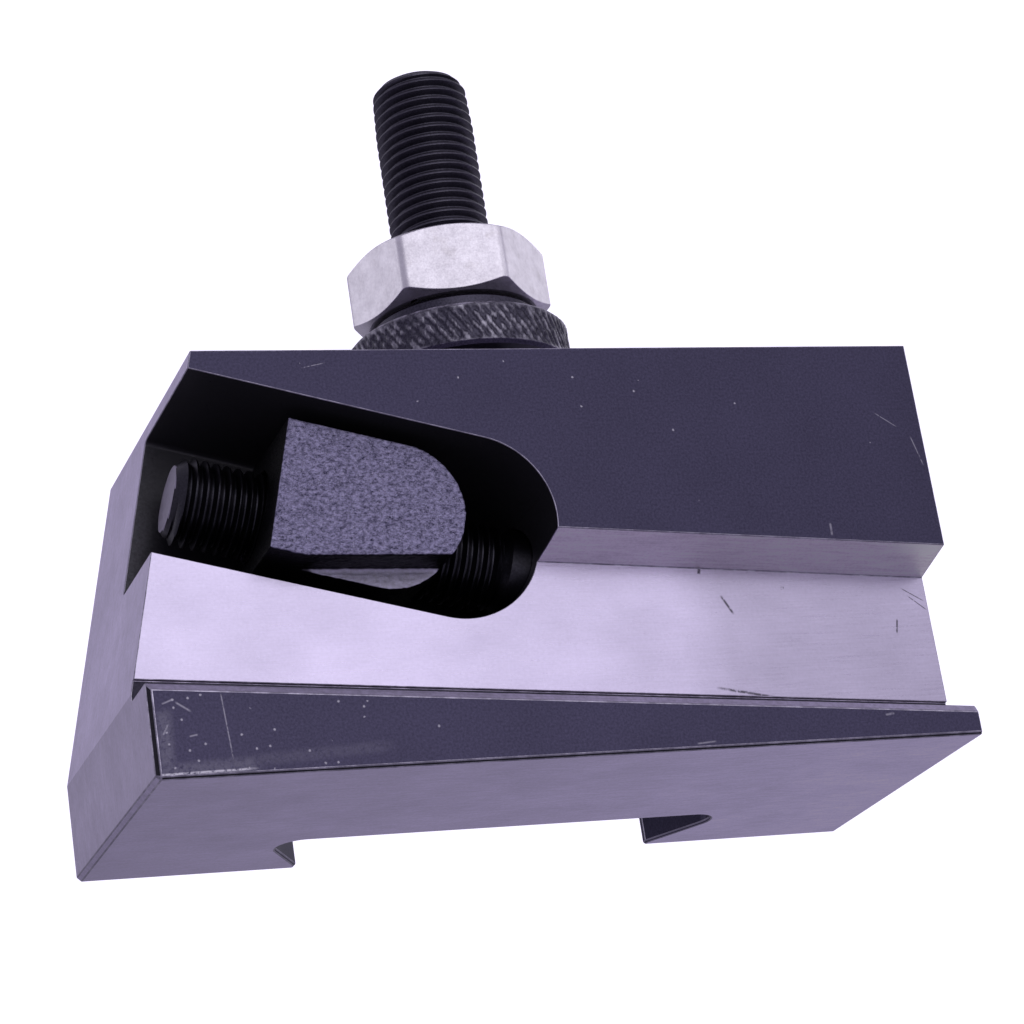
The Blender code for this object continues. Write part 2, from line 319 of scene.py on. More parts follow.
def rubbed_edge(name):
    """The narrow breaks along the edges, where the black is rubbed off in places."""
    nodes = Nodes(name)
    patches = nodes.grain(nodes.stretched((0.7, 0.7, 0.7)), detail=6.0, rough=0.7)
    handled = nodes.ramp(nodes.part_of(nodes.place, "Y"), FRONT + 8 * MM, FRONT + 7 * MM, 0.25, 1.0)
    bare = nodes.times(nodes.ramp(patches, 0.42, 0.70), handled)
    colour = nodes.blend(bare, (0.26, 0.24, 0.32), (0.58, 0.54, 0.68))
    return nodes.finish(colour, nodes.ramp(patches, 0.4, 0.6, 0.45, 0.30), 1.0)


def pocket_black(name):
    """Glossy black. Its back wall is speckled, and painted lighter towards the open end as painted light
    where light reaches in.
    """
    nodes = Nodes(name)
    fine = nodes.grain(nodes.stretched((3.0, 3.0, 3.0)), detail=5.0, rough=0.8)
    turn = nodes.add("ShaderNodeTexCoord").outputs["Normal"]
    looks_out = nodes.ramp(nodes.part_of(turn, "Y"), -0.5, -0.9)
    # Painted light: the back wall lightens towards the open left end; the speckle is the wall's own grain.
    lit_open_end = nodes.ramp(nodes.part_of(nodes.place, "X"), LEFT + 9 * MM, LEFT + 1 * MM)
    speckle_and_painted_light = nodes.times(looks_out, lit_open_end, nodes.ramp(fine, 0.42, 0.60))
    colour = nodes.blend(speckle_and_painted_light, OXIDE_DEEP, (0.085, 0.080, 0.098))
    nodes.bump(fine, 0.006 * MM, 0.4)
    return nodes.finish(colour, nodes.spread(fine, 0.26, 0.40), 0.5)


def loft(*sections):
    """A closed mesh through outlines that have the same number of points."""
    bm = bmesh.new()
    rings = [[bm.verts.new(point) for point in section] for section in sections]
    for near, far in zip(rings, rings[1:]):
        for index, start in enumerate(near):
            following = (index + 1) % len(near)
            bm.faces.new((start, far[index], far[following], near[following]))
    bm.faces.new(rings[0])
    bm.faces.new(reversed(rings[-1]))
    bmesh.ops.recalc_face_normals(bm, faces=bm.faces)
    return bm


def turned(profile, steps=128):
    """A closed mesh turned about Z from (radius, height) points, bottom to top."""
    angles = [math.tau * step / steps for step in range(steps)]
    sections = []
    for radius, height in profile:
        sections.append([(radius * math.cos(a), radius * math.sin(a), height) for a in angles])
    return loft(*sections)


def arc(centre, radius, start, end, steps=48):
    """Points along an arc, from the start angle to the end angle."""
    points = []
    for step in range(steps + 1):
        angle = start + (end - start) * step / steps
        points.append((centre[0] + radius * math.cos(angle), centre[1] + radius * math.sin(angle)))
    return points


def object_from(bm, name, *materials, matrix=None):
    """Puts a finished bmesh into the scene, moved by the matrix if there is one."""
    mesh = bpy.data.meshes.new(name)
    bm.to_mesh(mesh)
    bm.free()
    if matrix is not None:
        mesh.transform(matrix)
    for material in materials:
        mesh.materials.append(material)
    obj = bpy.data.objects.new(name, mesh)
    bpy.context.scene.collection.objects.link(obj)
    return obj


def cut(target, tool, operation="DIFFERENCE"):
    """Cuts target with tool. The faces that the tool leaves keep the tool's material."""
    modifier = target.modifiers.new(tool.name, "BOOLEAN")
    modifier.operation = operation
    modifier.solver = "EXACT"
    modifier.material_mode = "TRANSFER"
    modifier.object = tool
    settle(target)
    bpy.data.objects.remove(tool, do_unlink=True)


def settle(obj):
    """Applies all modifiers to the mesh."""
    bpy.context.view_layer.update()
    graph = bpy.context.evaluated_depsgraph_get()
    mesh = bpy.data.meshes.new_from_object(obj.evaluated_get(graph), depsgraph=graph)
    obj.modifiers.clear()
    old = obj.data
    obj.data = mesh
    bpy.data.meshes.remove(old)
    mesh.name = obj.name


def soften(obj, width, angle=28, strip_finish=None):
    """Breaks every sharp edge by a small width, and shades the rest smooth. The narrow
    strips along the edges can have a finish of their own."""
    modifier = obj.modifiers.new("edge_break", "BEVEL")
    if strip_finish is not None:
        obj.data.materials.append(strip_finish)
        modifier.material = len(obj.data.materials) - 1
    modifier.width = width
    modifier.segments = 2
    modifier.limit_method = "ANGLE"
    modifier.angle_limit = math.radians(angle)
    modifier.use_clamp_overlap = False
    modifier.harden_normals = True
    modifier.miter_outer = "MITER_ARC"
    obj.data.shade_smooth()
    obj.data.set_sharp_from_angle(angle=math.radians(angle))
    settle(obj)


def toned(colour, share):
    """The same colour, lighter or darker all over."""
    return tuple(share * part for part in colour)


# Each mark is a scratch: its centre along X and up Z, its length and width in millimetres,
# its angle up from X in degrees, and its strength where that isn't 1.
SEAT_MARKS = (
    ((17.8, 14.9), 2.2, 0.24, -62),
    ((34.5, 12.2), 1.5, 0.18, 78),
    ((15.6, 18.2), 0.6, 0.32, 75),
    ((23.6, 16.3), 0.4, 0.30, 0),
    ((18.3, 6.5), 6.2, 0.26, -12),
    ((2.0, 7.0), 6.0, 0.14, -4),
    ((37.0, 14.4), 2.4, 0.10, -40),
    ((36.7, 15.2), 2.6, 0.10, -32),
)
FACE_MARKS = (
    ((-31.7, 4.5), 6.8, 0.12, 94),
    ((-35.2, 6.1), 1.6, 0.18, -35),
    ((-36.5, 6.6), 1.1, 0.16, 20),
    ((-36.9, 4.2), 1.2, 0.20, 60),
    ((-34.6, 3.6), 0.8, 0.16, 10),
    ((-33.6, 0.8), 10.0, 1.3, 2, 0.28),
    ((-37.0, 3.4), 5.6, 1.4, 88, 0.30),
    ((-24.0, 1.5), 14.0, 1.1, 3, 0.14),
    ((-34.0, 0.44), 9.4, 0.22, 1, 2.4),
    ((34.6, 30.6), 2.6, 0.10, -35),
    ((37.2, 27.5), 3.2, 0.12, -75),
    ((-20.0, 36.6), 2.4, 0.08, 12),
    ((31.3, 2.9), 1.5, 0.16, -25),
    ((29.2, 2.3), 1.0, 0.22, 8),
    ((11.0, 0.6), 2.0, 0.16, 4),
    ((26.9, 20.0), 1.3, 0.22, 88),
)

# How fine the lines of each grinding or milling pass are along X, Y and Z.
END_LINES = (2.2, 2.2, 0.45)
FOOT_LINES = (0.45, 2.2, 2.2)
SEAT_LINES = (0.20, 6.0, 4.5)
STEP_LINES = (0.10, 3.5, 3.5)
NO_LINES = (1.5, 1.5, 1.5)

end_finish = ground_steel("ground_ends", END_LINES, GROUND, 0.40, 0.8)
# Painted shade: the left end is a darker copy of the ground ends.
shaded_heel_finish = ground_steel("ground_heel_painted_shade", END_LINES, toned(GROUND, 0.76), 0.40, 0.8)
# The underside's tone is painted light, lighter towards the right end.
foot_finish = ground_steel("ground_foot", FOOT_LINES, GROUND, 0.40, 0.8, painted_light_fall=(LEFT, RIGHT, 0.88, 1.28))
# The seat's tone is painted light, darker towards the right end.
seat_finish = ground_steel(
    "ground_seat", SEAT_LINES, toned(GROUND, 0.97), 0.30, 0.55,
    painted_light_fall=(12.5 * MM, 17.5 * MM, 1.0, 0.78), scratches=SEAT_MARKS,
)
step_finish = ground_steel("milled_step", STEP_LINES, MILLED, 0.42, 0.9)
face_finish = black_oxide(
    "blacked_faces", OXIDE, 0.42,
    crowd=(LEFT, LEFT + 24 * MM, SPECKS_CROWDED, SPECKS_RARE), scratches=FACE_MARKS,
)
# Painted shade: the front chamfers are a darker, unspeckled copy of the blacked faces.
shaded_corner_finish = black_oxide("blacked_corners_painted_shade", OXIDE_DEEP, 0.45, specks=0.0)
worn_finish = ground_steel("worn_corner", NO_LINES, toned(GROUND, 0.8), 0.45)
# Blacked like the faces, and made darker as painted shade in the narrow groove.
groove_shade_finish = black_oxide("blacked_groove_painted_shade", GROOVE_SHADE_BLACK, 0.45, specks=0.0)
pocket_finish = pocket_black("blacked_pocket")
channel_finish = black_oxide("blacked_channel", toned(OXIDE, 0.7), 0.45, specks=0.0)
edge_finish = rubbed_edge("rubbed_edges")

BLANK_FINISHES = (end_finish, face_finish, shaded_corner_finish, worn_finish, foot_finish, shaded_heel_finish)
BRIGHT, BLACK, SHADED_CORNER, GREY_CORNER, FOOT, SHADED_HEEL = range(6)

clamp = next(joint for joint in frame["joints"] if joint["name"] == "clamp_screw_turn")
clamp_direction = Vector(clamp["axis"]).normalized()
clamp_centre = Vector(clamp["pos_m"])
CLAMP_FALL = math.atan2(-clamp_direction.z, clamp_direction.x)
CLAMP_FRAME = Matrix.Translation(clamp_centre) @ Matrix.Rotation(CLAMP_FALL, 4, "Y")
ALONG_CLAMP = CLAMP_FRAME @ Matrix.Rotation(math.pi / 2, 4, "Y")
SCREW_DEPTH = clamp_centre.y - FRONT


def blank_finish(normal):
    """Which of the blank's finishes a face has, from the way that it looks. The left end and the front
    chamfers get darker copies of their finishes, as painted shade.
    """
    if normal.y < -0.9:
        return BLACK
    # Painted shade: faces turned partly to the front get the darker black.
    if normal.y < -0.3:
        return SHADED_CORNER
    if normal.x < -0.5 and normal.z < -0.5:
        return GREY_CORNER
    if normal.z < -0.9:
        return FOOT
    # Painted shade: the left end gets the darker ground copy.
    if normal.x < -0.99:
        return SHADED_HEEL
    return BRIGHT


def body_blank():
    """The plain block, with its leaning left end and the chamfers round its lower front."""
    outline = [(LEFT, 0.0), (RIGHT, 0.0), (RIGHT, TOP), (LEFT + LEAN_AT_TOP, TOP), (LEFT, LEAN_START)]
    bm = loft([(x, FRONT, z) for x, z in outline], [(x, BACK, z) for x, z in outline])
    sharp = []
    for edge in bm.edges:
        middle = (edge.verts[0].co + edge.verts[1].co) / 2
        low_left = middle.z < MM and abs(middle.x - LEFT) < MM
        low_front = middle.z < MM and abs(middle.y - FRONT) < MM
        lip_corner = middle.z < LEAN_START and abs(middle.x - LEFT) < MM and abs(middle.y - FRONT) < MM
        if low_left or low_front or lip_corner:
            sharp.append(edge)
    bmesh.ops.bevel(bm, geom=sharp, offset=CORNER_CHAMFER, segments=1, profile=0.5, affect="EDGES")
    for vert in bm.verts:
        at = vert.co
        if abs(at.z - LEAN_START) < MM and 0 < at.x - LEFT < MM:
            at.x = LEFT + LIP_CORNER_WIDE
        if abs(at.y - FRONT) < ON_PLANE and 0 < at.z < MM:
            at.z = FRONT_CHAMFER
        if abs(at.z) < ON_PLANE and 0 < at.y - FRONT < MM:
            at.y = FRONT + FRONT_CHAMFER
    for face in bm.faces:
        face.material_index = blank_finish(face.normal)
    return bm


def slot_tool():
    """The blade slot, with the relief groove at the foot of the seat."""
    slope = STEP_UNDERCUT / SEAT_DEPTH
    groove_back = SEAT_DEPTH + RELIEF_DEPTH
    section = [
        (-OVERRUN, -LIP_CHAMFER_DROP * (1 + OVERRUN / LIP_CHAMFER_DEPTH)),
        (LIP_CHAMFER_DEPTH, 0.0),
        (groove_back, 0.0),
        (groove_back, RELIEF_HEIGHT),
        (SEAT_DEPTH, RELIEF_HEIGHT),
        (SEAT_DEPTH, SLOT_HEIGHT - STEP_UNDERCUT),
        (-OVERRUN, SLOT_HEIGHT + OVERRUN * slope),
    ]
    ends = []
    for x in (LEFT - OVERRUN, RIGHT + OVERRUN):
        lip = LIP_TOP_LEFT - (x - LEFT) * SLOT_FALL
        ends.append([(x, FRONT + y, lip + z) for y, z in section])
    bm = loft(*ends)
    seat, step, groove, lip_corner = range(4)
    for face in bm.faces:
        depth = face.calc_center_median().y - FRONT
        face.material_index = step
        if depth > SEAT_DEPTH + 0.1 * MM:
            face.material_index = groove
        elif abs(face.normal.y) > 0.9:
            face.material_index = seat
        elif depth < 0:
            face.material_index = lip_corner
    return object_from(bm, "slot_tool", seat_finish, step_finish, groove_shade_finish, worn_finish)


def pocket_tool():
    """The clamp pocket, cut with a round mill along the falling clamp line."""
    up = math.pi / 2 - CLAMP_FALL
    centre = (clamp_centre.x, clamp_centre.z)
    out_x, out_z = -POCKET_REACH * math.cos(CLAMP_FALL), POCKET_REACH * math.sin(CLAMP_FALL)
    levels = [(-OVERRUN, 0.0), (POCKET_DEPTH - POCKET_FILLET, 0.0)]
    for step in range(1, FILLET_STEPS + 1):
        angle = math.pi / 2 * step / FILLET_STEPS
        depth = POCKET_DEPTH - POCKET_FILLET * (1 - math.sin(angle))
        levels.append((depth, POCKET_FILLET * (1 - math.cos(angle))))
    sections = []
    for depth, inset in levels:
        end = arc(centre, POCKET_WIDTH / 2 - inset, up, up - math.pi)
        outline = [(end[0][0] + out_x, end[0][1] + out_z), *end, (end[-1][0] + out_x, end[-1][1] + out_z)]
        sections.append([(x, FRONT + depth, z) for x, z in outline])
    return object_from(loft(*sections), "pocket_tool", pocket_finish)


def bore_tool():
    """The clearance bore for the clamp screw, and the counterbore for its head."""
    face = (RIGHT - clamp_centre.x) / math.cos(CLAMP_FALL)
    shoulder = face - COUNTERBORE_DEPTH
    profile = [
        (SCREW_BORE_RADIUS, 0.0),
        (SCREW_BORE_RADIUS, shoulder),
        (COUNTERBORE_RADIUS, shoulder),
        (COUNTERBORE_RADIUS, face + 2 * OVERRUN),
    ]
    return object_from(turned(profile), "bore_tool", pocket_finish, matrix=ALONG_CLAMP)


def stud_hole_tool():
    """The hole in the top for the height stud, flared at its mouth."""
    low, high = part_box("height_stud")
    radius = (high.x - low.x) / 2 + STUD_HOLE_GAP
    profile = [
        (radius, low.z - 2 * STUD_HOLE_GAP),
        (radius, TOP - STUD_HOLE_FLARE),
        (radius + STUD_HOLE_FLARE, TOP),
        (radius + STUD_HOLE_FLARE, TOP + OVERRUN),
    ]
    return object_from(turned(profile), "stud_hole_tool", channel_finish)


def channel_half(grow):
    """Half of the dovetail outline, moved into the steel by grow."""
    nose = BACK - NOSE
    floor = BACK - CHANNEL_DEPTH
    across, along = math.sin(FLANK), math.cos(FLANK)
    centre_y = floor + CHANNEL_CORNER
    centre_x = MOUTH / 2 - (CHANNEL_CORNER + along * (centre_y - nose)) / across
    corner = arc((centre_x, centre_y), CHANNEL_CORNER + grow, math.pi / 2 - FLANK, -math.pi / 2, steps=16)
    mouth = MOUTH / 2 + grow
    return [(mouth, BACK + OVERRUN), (mouth, nose + grow * (1 - across) / along)] + corner


def channel_tool():
    """The dovetail channel through the full height, with a lead-in chamfer at each end."""
    levels = [(-OVERRUN, LEAD_IN), (0.0, LEAD_IN), (LEAD_IN, 0.0)]
    levels += [(TOP - LEAD_IN, 0.0), (TOP, LEAD_IN), (TOP + OVERRUN, LEAD_IN)]
    sections = []
    for z, grow in levels:
        half = channel_half(grow)
        outline = half + [(-x, y) for x, y in reversed(half)]
        sections.append([(x, y, z) for x, y in outline])
    return object_from(loft(*sections), "channel_tool", channel_finish)


holder = object_from(body_blank(), "holder_block", *BLANK_FINISHES)
for make_tool in (slot_tool, pocket_tool, bore_tool, stud_hole_tool, channel_tool):
    cut(holder, make_tool())
soften(holder, EDGE_SOFTENING, strip_finish=edge_finish)
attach(holder, "holder")
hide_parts("holder_body")


# ---------------------------------------------------------------------------
# Height stud
# A length of blacked steel with a fine thread cut from end to end, screwed hard
# into the top of the body. Both ends are chamfered.

PITCH = 1.0 * MM
THREAD_DEPTH = 0.60 * PITCH
# One turn of the thread: the share of the pitch gone by, and the height from root to crest.
THREAD_SHAPE = (
    (0.0, 1.0), (0.10, 1.0), (0.20, 0.92), (0.34, 0.5), (0.48, 0.06), (0.58, 0.0), (0.68, 0.06), (0.84, 0.5),
)
STUD_CHAMFER = 0.9 * MM
STUD_WORN_END = 5 * MM
STUD_END_TAPER = 0.24 * MM


def threaded(radius, bottom, top, chamfer, steps=96, taper=None):
    """A rod with a right-hand thread about Z, cut square at both ends."""
    bm = bmesh.new()
    count = len(THREAD_SHAPE)
    turns = math.ceil((top - bottom) / PITCH) + 3
    start = bottom - 2 * PITCH
    columns = []
    for step in range(steps):
        angle = math.tau * step / steps
        column = []
        for row in range(turns * count):
            share, height = THREAD_SHAPE[row % count]
            z = start + (row // count + share + step / steps) * PITCH
            r = radius - THREAD_DEPTH * (1 - height)
            if taper is not None:
                r -= taper(z)
            r = min(r, radius - chamfer + max(0.0, min(z - bottom, top - z)))
            r = min(r, radius)
            column.append(bm.verts.new((r * math.cos(angle), r * math.sin(angle), z)))
        columns.append(column)
    for step, column in enumerate(columns):
        following = columns[(step + 1) % steps]
        shift = count if step == steps - 1 else 0
        for row in range(len(column) - 1):
            if row + 1 + shift >= len(following):
                break
            bm.faces.new((column[row], following[row + shift], following[row + 1 + shift], column[row + 1]))
    for z, normal in ((bottom, -1), (top, 1)):
        everything = list(bm.verts) + list(bm.edges) + list(bm.faces)
        bmesh.ops.bisect_plane(
            bm, geom=everything, dist=ON_PLANE, plane_co=(0, 0, z), plane_no=(0, 0, normal), clear_outer=True,
        )
        open_edges = [edge for edge in bm.edges if edge.is_boundary]
        rim = [edge for edge in open_edges if abs(edge.verts[0].co.z - z) < 10 * ON_PLANE]
        bmesh.ops.contextual_create(bm, geom=rim)
    bmesh.ops.recalc_face_normals(bm, faces=bm.faces)
    return bm


def smooth_round(obj, angle=32):
    """Shades the round faces smooth and keeps the edges that are sharper than the angle."""
    obj.data.shade_smooth()
    obj.data.set_sharp_from_angle(angle=math.radians(angle))


stud_low, stud_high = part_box("height_stud")
stud_radius = (stud_high.x - stud_low.x) / 2


def stud_taper(z):
    """The first turns at the top are a little low, as a die leaves them."""
    share = max(0.0, (z - stud_high.z + STUD_WORN_END) / STUD_WORN_END)
    return STUD_END_TAPER * share


thread_finish = black_oxide("blacked_thread", (0.088, 0.083, 0.108), 0.38, specks=0.0)
stud_thread = threaded(stud_radius, stud_low.z, stud_high.z, STUD_CHAMFER, taper=stud_taper)
stud = object_from(stud_thread, "threaded_stud", thread_finish)
smooth_round(stud)
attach(stud, "holder")
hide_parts("height_stud")


# ---------------------------------------------------------------------------
# Thumb nut
# A turned and blacked nut with a coarse slanting knurl on its rim and a plain
# thin hub on top. The knurl's crests are rubbed bright.

KNURLS = 80
KNURL_LEAN = math.tan(math.radians(32))
KNURL_DEPTH = 0.17 * MM
KNURL_RADIUS = 10.5 * MM
RIM_HEIGHT = 4.2 * MM
RIM_CHAMFER = 0.35 * MM
HUB_RADIUS = 8.0 * MM
HUB_CHAMFER = 0.25 * MM
BORE_FLARE = 0.5 * MM
BORE_GAP = 0.06 * MM
BORE_OVERRUN = 0.1 * MM


def nut_bore(name, bottom, top, material):
    """A tool for the stud's hole through a nut, flared at both faces."""
    radius = stud_radius + BORE_GAP
    profile = [
        (radius + BORE_FLARE + BORE_OVERRUN, bottom - BORE_OVERRUN),
        (radius, bottom + BORE_FLARE),
        (radius, top - BORE_FLARE),
        (radius + BORE_FLARE + BORE_OVERRUN, top + BORE_OVERRUN),
    ]
    return object_from(turned(profile), name, material)


def knurl_height(angle, z):
    """From 0 in a groove to 1 on a crest, uneven as a rolled knurl is."""
    around = angle / math.tau * KNURLS
    climb = z * KNURL_LEAN * KNURLS / (math.tau * KNURL_RADIUS)
    ridge = 1 - abs(2 * ((around + climb) % 1.0) - 1)
    nick = max(0.0, 0.35 - abs(2 * ((2 * around - climb) % 1.0) - 1))
    uneven = noise.noise(Vector((math.cos(angle) * 14, math.sin(angle) * 14, z * 1300)))
    return max(0.0, min(1.0, ridge ** 0.8 + 0.95 * uneven - 0.9 * nick))


def knurled_rim(radius, bottom, rim_top, top, steps=KNURLS * 9, rows=26):
    """The nut's rim and hub as one turned shape. Each profile point says how deep the
    knurl cuts there, fading out towards the rim's chamfers."""
    profile = [(radius - 2 * RIM_CHAMFER, bottom, 0.0), (radius - RIM_CHAMFER, bottom, 0.0)]
    for row in range(rows + 1):
        share = row / rows
        z = bottom + RIM_CHAMFER + share * (rim_top - bottom - 2 * RIM_CHAMFER)
        fade = min(1.0, 6 * min(share, 1 - share) + 0.2)
        profile.append((radius, z, fade))
    profile += [
        (radius - RIM_CHAMFER, rim_top, 0.0),
        (HUB_RADIUS, rim_top, 0.0),
        (HUB_RADIUS, top - HUB_CHAMFER, 0.0),
        (HUB_RADIUS - HUB_CHAMFER, top, 0.0),
    ]
    sections = []
    for base, z, cut_share in profile:
        ring = []
        for step in range(steps):
            angle = math.tau * step / steps
            r = base - KNURL_DEPTH * cut_share * (1 - knurl_height(angle, z))
            ring.append((r * math.cos(angle), r * math.sin(angle), z))
        sections.append(ring)
    return loft(*sections)


def knurl_finish():
    """Black oxide that is rubbed back to steel on the knurl's crests."""
    nodes = Nodes("blacked_knurl")
    flat = nodes.add("ShaderNodeSeparateXYZ")
    nodes.join(nodes.place, flat.inputs[0])
    across = nodes.math("POWER", flat.outputs["X"], 2.0)
    deep = nodes.math("POWER", flat.outputs["Y"], 2.0)
    distance = nodes.math("SQRT", nodes.math("ADD", across, deep), 0.0)
    crest = nodes.ramp(distance, thumb_radius - 0.09 * MM, thumb_radius - 0.01 * MM)
    patches = nodes.grain(nodes.stretched((0.8, 0.8, 0.8)), detail=6.0, rough=0.7)
    fine = nodes.grain(nodes.stretched((6.0, 6.0, 6.0)), detail=3.0)
    base = nodes.blend(nodes.spread(fine), (0.036, 0.034, 0.048), (0.090, 0.083, 0.120))
    near_top = nodes.ramp(flat.outputs["Z"], rim_top - 0.32 * MM, rim_top - 0.22 * MM)
    below_top = nodes.math("LESS_THAN", flat.outputs["Z"], rim_top - 0.01 * MM)
    top_edge = nodes.times(near_top, below_top, 0.9)
    rubbed = nodes.math("MAXIMUM", nodes.times(crest, 0.52), top_edge)
    colour = nodes.blend(nodes.times(rubbed, nodes.ramp(patches, 0.40, 0.62)), base, WORN)
    nodes.bump(fine, 0.01 * MM, 0.5)
    return nodes.finish(colour, nodes.spread(fine, 0.34, 0.50), 1.0)


thumb_low, thumb_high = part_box("thumb_nut")
thumb_radius = (thumb_high.x - thumb_low.x) / 2
rim_top = thumb_low.z + RIM_HEIGHT
thumb_shape = knurled_rim(thumb_radius, thumb_low.z, rim_top, thumb_high.z)
thumb = object_from(thumb_shape, "knurled_thumb_nut", knurl_finish())
cut(thumb, nut_bore("thumb_bore_tool", thumb_low.z, thumb_high.z, channel_finish))
smooth_round(thumb, 40)
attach(thumb, "thumb_nut")
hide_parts("thumb_nut")


# ---------------------------------------------------------------------------
# Lock nut
# A hexagon nut, chamfered on both faces by turning, and plated with bright
# zinc. It jams against the thumb nut's hub.

LOCK_FLATS = 16.7 * MM
LOCK_CORNER = LOCK_FLATS / 2 / math.cos(math.pi / 6)
LOCK_TURN = math.radians(44.5)
LOCK_CHAMFER = math.tan(math.radians(30))
LOCK_CHAMFER_INSET = 0.25 * MM
LOCK_TOOL_MARGIN = 0.3 * MM
LOCK_ROUNDING = 0.55 * MM
LOCK_EDGE_BREAK = 0.06 * MM


def zinc_plate():
    """Bright zinc, a little cloudy and stained."""
    nodes = Nodes("bright_zinc")
    clouds = nodes.grain(nodes.stretched((0.5, 0.5, 0.5)), detail=6.0, rough=0.75)
    fine = nodes.grain(nodes.stretched((5.0, 5.0, 5.0)), detail=3.0)
    stain = nodes.grain(nodes.stretched((0.6, 0.6, 0.6), turn=(0.4, 0.2, 0.7)), detail=5.0)
    clean = nodes.blend(nodes.spread(clouds), (0.68, 0.645, 0.72), (0.95, 0.91, 1.0))
    colour = nodes.blend(nodes.ramp(stain, 0.58, 0.74, 0.0, 0.3), clean, (0.42, 0.38, 0.38))
    nodes.bump(fine, 0.008 * MM, 0.5)
    return nodes.finish(colour, nodes.spread(fine, 0.36, 0.50), 1.0)


def hexagon_prism(corner, turn, bottom, top):
    """A plain hexagon along Z. corner is how far its six upright edges stand from the axis."""
    angles = [turn + index * math.tau / 6 for index in range(6)]
    outline = [(corner * math.cos(angle), corner * math.sin(angle)) for angle in angles]
    return loft([(x, y, bottom) for x, y in outline], [(x, y, top) for x, y in outline])


def lock_blank(bottom, top):
    """The nut's hexagon, with its six upright edges rounded as cold forging leaves them."""
    bm = hexagon_prism(LOCK_CORNER, LOCK_TURN, bottom, top)
    upright = [edge for edge in bm.edges if abs(edge.verts[0].co.z - edge.verts[1].co.z) > MM]
    bmesh.ops.bevel(bm, geom=upright, offset=LOCK_ROUNDING, segments=5, profile=0.5, affect="EDGES")
    return bm


lock_low, lock_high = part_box("lock_nut")
zinc = zinc_plate()
lock = object_from(lock_blank(lock_low.z, lock_high.z), "hexagon_lock_nut", zinc)
face_radius = LOCK_FLATS / 2 - LOCK_CHAMFER_INSET
wide_radius = LOCK_CORNER + LOCK_TOOL_MARGIN
chamfer_rise = (wide_radius - face_radius) * LOCK_CHAMFER
chamfer_profile = [
    (face_radius, lock_low.z),
    (wide_radius, lock_low.z + chamfer_rise),
    (wide_radius, lock_high.z - chamfer_rise),
    (face_radius, lock_high.z),
]
chamfer_tool = object_from(turned(chamfer_profile, steps=192), "lock_chamfer_tool", zinc)
cut(lock, chamfer_tool, "INTERSECT")
cut(lock, nut_bore("lock_bore_tool", lock_low.z, lock_high.z, zinc))
soften(lock, LOCK_EDGE_BREAK, angle=24)
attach(lock, "lock_nut")
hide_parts("lock_nut")


# ---------------------------------------------------------------------------
# Clamp block
# A D-shaped block of cast and blasted steel, threaded on the clamp screw. The
# ledge across its front bears on the blade's top edge as the block is drawn down.

BLOCK_WIDTH = 12.5 * MM
BLOCK_LENGTH = 17.1 * MM
BLOCK_END = 0.2 * MM
BLOCK_LEFT = -BLOCK_END - BLOCK_LENGTH
BLOCK_BORE_RADIUS = 4.25 * MM
BLOCK_FRONT = 2.0 * MM
BLOCK_BACK = 16.2 * MM
LEDGE_DEPTH = 5.6 * MM
LEDGE_DROP = 5.0 * MM
LEDGE_TILT = math.tan(math.radians(13.2))
BLAST_VOXEL = 0.15 * MM
BLAST_DEPTH = 0.045 * MM


def blasted_steel():
    """A front face of dark and bright grit with painted glints, a brighter ledge, and near-black sides."""
    nodes = Nodes("blasted_steel")
    coarse = nodes.grain(nodes.stretched((2.0, 2.0, 3.0), turn=(0, 0.9, 0)), detail=6.0, rough=0.9)
    fine = nodes.grain(nodes.stretched((6.0, 6.0, 6.0)), detail=2.0)
    turn = nodes.add("ShaderNodeTexCoord").outputs["Normal"]
    front = nodes.ramp(nodes.part_of(turn, "Y"), -0.35, -0.80)
    tone = nodes.blend(nodes.ramp(coarse, 0.38, 0.64), (0.022, 0.020, 0.048), (0.40, 0.37, 0.58))
    # Painted glints: bright flecks put in the colour.
    painted_glint = nodes.ramp(fine, 0.60, 0.72, 0.0, 0.6)
    tone = nodes.blend(painted_glint, tone, (0.50, 0.47, 0.64))
    behind = nodes.ramp(nodes.part_of(nodes.place, "Y"), FRONT + 4.6 * MM, FRONT + 5.2 * MM, 0.0, 0.5)
    tone = nodes.blend(behind, tone, (0.74, 0.70, 0.86))
    colour = nodes.blend(front, (0.010, 0.0095, 0.013), tone)
    nodes.bump(coarse, 0.06 * MM, 0.9)
    return nodes.finish(colour, nodes.spread(fine, 0.36, 0.52), 0.95)


def block_blank():
    """The D-shaped block, along the clamp line from its square end to its round one."""
    radius = BLOCK_WIDTH / 2
    round_end = arc((-BLOCK_END - radius, 0.0), radius, math.pi / 2, -math.pi / 2)
    outline = [(BLOCK_LEFT, radius), *round_end, (BLOCK_LEFT, -radius)]
    near = [(u, BLOCK_FRONT - SCREW_DEPTH, v) for u, v in outline]
    far = [(u, BLOCK_BACK - SCREW_DEPTH, v) for u, v in outline]
    return loft(near, far)


def ledge_tool(material):
    """Cuts away the block's lower front, along a line that falls less than the screw does."""
    left = BLOCK_LEFT - OVERRUN
    middle = -BLOCK_END - BLOCK_LENGTH / 2
    outline = []
    for u in (left, OVERRUN):
        outline.append((u, -LEDGE_DROP + (u - middle) * LEDGE_TILT))
    outline += [(OVERRUN, -BLOCK_WIDTH), (left, -BLOCK_WIDTH)]
    near = [(u, BLOCK_FRONT - SCREW_DEPTH - OVERRUN, v) for u, v in outline]
    far = [(u, LEDGE_DEPTH - SCREW_DEPTH, v) for u, v in outline]
    return object_from(loft(near, far), "ledge_tool", material)


